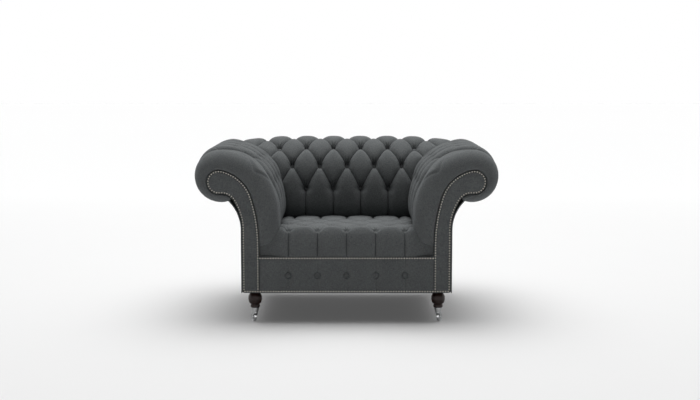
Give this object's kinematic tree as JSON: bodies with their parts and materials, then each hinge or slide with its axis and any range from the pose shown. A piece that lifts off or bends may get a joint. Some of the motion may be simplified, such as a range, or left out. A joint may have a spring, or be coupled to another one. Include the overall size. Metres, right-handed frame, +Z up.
{
  "type": "upholstered armchair",
  "caption": "Deep-buttoned armchair with rolled arms and back, nailed scroll facings and turned front legs on castors.",
  "frame": {"origin": "on the floor, under the centre of the chair's bounding box", "axes": "+X across the chair to the right as seen from the front, the front faces -Y, +Z up"},
  "size_m": [1.26, 0.9317, 0.734],
  "materials": {
    "cover_fabric": "woven charcoal grey wool-like cloth, matt",
    "button_fabric": "the same cloth over button moulds",
    "frame_wood": "sawn beech, unfinished",
    "leg_wood": "dark mahogany stain, polished",
    "castor_metal": "bright plated",
    "bolt_steel": "zinc plated",
    "glide_nylon": "moulded nylon",
    "webbing_jute": "woven jute",
    "hessian": "open-weave hessian",
    "dust_cloth": "black non-woven cloth"
  },
  "bodies": {
    "root": {"arm_buttons_left": "button_fabric", "arm_buttons_right": "button_fabric", "arm_facing_left": "cover_fabric", "arm_facing_right": "cover_fabric", "arm_front_board_left": "frame_wood", "arm_front_board_right": "frame_wood", "arm_hessian_left": "hessian", "arm_hessian_right": "hessian", "arm_pad_left": "cover_fabric", "arm_pad_right": "cover_fabric", "arm_rear_board_left": "frame_wood", "arm_rear_board_right": "frame_wood", "arm_tacking_rail_left": "frame_wood", "arm_tacking_rail_right": "frame_wood", "arm_top_rail_left": "frame_wood", "arm_top_rail_right": "frame_wood", "back_board_left": "frame_wood", "back_board_right": "frame_wood", "back_buttons": "button_fabric", "back_hessian": "hessian", "back_pad": "cover_fabric", "back_tacking_rail": "frame_wood", "back_top_rail": "frame_wood", "border_buttons": "button_fabric", "caster_cup_left": "castor_metal", "caster_cup_right": "castor_metal", "dust_cover": "dust_cloth", "front_border": "cover_fabric", "front_leg_block_left": "frame_wood", "front_leg_block_right": "frame_wood", "front_leg_bolts": "bolt_steel", "front_leg_left": "leg_wood", "front_leg_right": "leg_wood", "front_seat_rail": "frame_wood", "outside_arm_panel_left": "cover_fabric", "outside_arm_panel_right": "cover_fabric", "outside_back_panel": "cover_fabric", "rear_corner_post_left": "frame_wood", "rear_corner_post_right": "frame_wood", "rear_glide_left": "glide_nylon", "rear_glide_right": "glide_nylon", "rear_leg_bolts": "bolt_steel", "rear_leg_left": "leg_wood", "rear_leg_right": "leg_wood", "rear_seat_rail": "frame_wood", "seat_buttons": "button_fabric", "seat_hessian": "hessian", "seat_pad": "cover_fabric", "seat_webbing_cross": "webbing_jute", "seat_webbing_long": "webbing_jute", "side_seat_rail_left": "frame_wood", "side_seat_rail_right": "frame_wood"},
    "fork_left": {"caster_fork_left": "castor_metal", "caster_axle_left": "castor_metal"},
    "wheel_left": {"caster_wheel_left": "castor_metal"},
    "fork_right": {"caster_fork_right": "castor_metal", "caster_axle_right": "castor_metal"},
    "wheel_right": {"caster_wheel_right": "castor_metal"}
  },
  "joints": [
    {"name": "caster_swivel_left", "type": "hinge", "parent": "root", "child": "fork_left", "pos_m": [-0.384, -0.408, 0.041], "axis": [0, 0, 1], "continuous": true},
    {"name": "wheel_spin_left", "type": "hinge", "parent": "fork_left", "child": "wheel_left", "pos_m": [-0.39054, -0.39794, 0.0175], "axis": [-0.8387, -0.5446, 0], "continuous": true},
    {"name": "caster_swivel_right", "type": "hinge", "parent": "root", "child": "fork_right", "pos_m": [0.384, -0.408, 0.041], "axis": [0, 0, 1], "continuous": true},
    {"name": "wheel_spin_right", "type": "hinge", "parent": "fork_right", "child": "wheel_right", "pos_m": [0.39054, -0.39794, 0.0175], "axis": [-0.8387, 0.5446, 0], "continuous": true}
  ]
}
